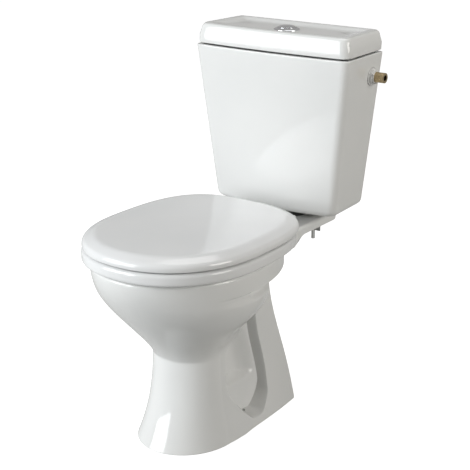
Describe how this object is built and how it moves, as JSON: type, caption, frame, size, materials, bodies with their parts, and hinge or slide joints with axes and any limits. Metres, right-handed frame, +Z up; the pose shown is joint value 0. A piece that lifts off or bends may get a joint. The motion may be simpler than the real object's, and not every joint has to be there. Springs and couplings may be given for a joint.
{
  "type": "close coupled toilet",
  "caption": "Floor-standing washdown toilet with a coupled cistern, lift-off lid, push-button flush, side water inlet and hinged seat and lid.",
  "frame": {"origin": "on the floor, midway between the two floor-fixing holes", "axes": "+Z up, +Y towards the wall behind the cistern, +X towards the water inlet (the right side seen from the front)"},
  "size_m": [0.3943, 0.64, 0.783],
  "materials": {
    "vitreous_china": "white glaze, high gloss",
    "seat_plastic": "white moulded plastic, high gloss",
    "white_plastic": "white moulded plastic, satin",
    "blue_plastic": "blue moulded plastic, satin",
    "clear_plastic": "milky moulded plastic, satin",
    "chrome": "polished chrome plate",
    "brass": "turned brass, slightly dull",
    "steel": "zinc plated steel",
    "black_rubber": "moulded rubber, matt",
    "red_rubber": "silicone rubber, satin"
  },
  "bodies": {
    "root": {"pan": "vitreous_china", "cistern": "vitreous_china", "coupling_washer": "black_rubber", "coupling_bolts": "steel", "coupling_seals": "black_rubber", "coupling_plates": "steel", "coupling_wing_nuts": "steel", "flush_base": "white_plastic", "flush_nut": "white_plastic", "flush_tower": "clear_plastic", "lever_pin": "steel", "inlet_tail": "brass", "inlet_flange_nut": "white_plastic", "inlet_lock_ring": "white_plastic", "inlet_seal": "black_rubber", "fill_valve": "white_plastic", "fill_valve_cap": "blue_plastic", "float_pin": "steel", "fall_tube": "white_plastic", "hinge_posts": "seat_plastic", "hinge_pins": "steel", "hinge_bolts": "white_plastic", "hinge_seals": "black_rubber", "hinge_wing_nuts": "white_plastic"},
    "cistern_lid": {"cistern_lid": "vitreous_china", "button_bezel": "chrome", "button_sleeve": "white_plastic", "button_nut": "white_plastic", "button_spring": "steel"},
    "push_button": {"push_button": "chrome", "push_rod": "white_plastic"},
    "flush_lever": {"flush_lever": "white_plastic"},
    "flush_plunger": {"flush_plunger": "blue_plastic", "flush_seal": "red_rubber"},
    "float_arm": {"float_arm": "white_plastic", "float": "white_plastic"},
    "seat_ring": {"seat_ring": "seat_plastic", "ring_buffers": "white_plastic"},
    "seat_lid": {"seat_lid": "seat_plastic", "lid_buffers": "white_plastic"}
  },
  "joints": [
    {"name": "seat_ring_hinge", "type": "hinge", "parent": "root", "child": "seat_ring", "pos_m": [0, 0.118, 0.412], "axis": [-1, 0, 0], "range_deg": [0, 91]},
    {"name": "seat_lid_hinge", "type": "hinge", "parent": "seat_ring", "child": "seat_lid", "pos_m": [0, 0.118, 0.412], "axis": [1, 0, 0], "range_deg": [-91, 0]},
    {"name": "cistern_lid_lift", "type": "slide", "parent": "root", "child": "cistern_lid", "axis": [0, 0, 1], "range_m": [0, 0.15]},
    {"name": "button_push", "type": "slide", "parent": "cistern_lid", "child": "push_button", "axis": [0, 0, -1], "range_m": [0, 0.006], "stiffness_N_per_m": 300, "springref_m": -0.004, "deforming": ["button_spring"]},
    {"name": "flush_lever_pivot", "type": "hinge", "parent": "root", "child": "flush_lever", "pos_m": [0.03, 0.234, 0.658], "axis": [0, 1, 0], "range_deg": [0, 36]},
    {"name": "plunger_lift", "type": "slide", "parent": "root", "child": "flush_plunger", "axis": [0, 0, 1], "range_m": [0, 0.009]},
    {"name": "float_pivot", "type": "hinge", "parent": "root", "child": "float_arm", "pos_m": [0.11002, 0.28, 0.715], "axis": [0, 1, 0], "range_deg": [0, 22]}
  ],
  "couplings": [
    {"joint": "flush_lever_pivot", "follows": "button_push", "rad_per_m": 100},
    {"joint": "plunger_lift", "follows": "button_push", "ratio": 1.45}
  ]
}
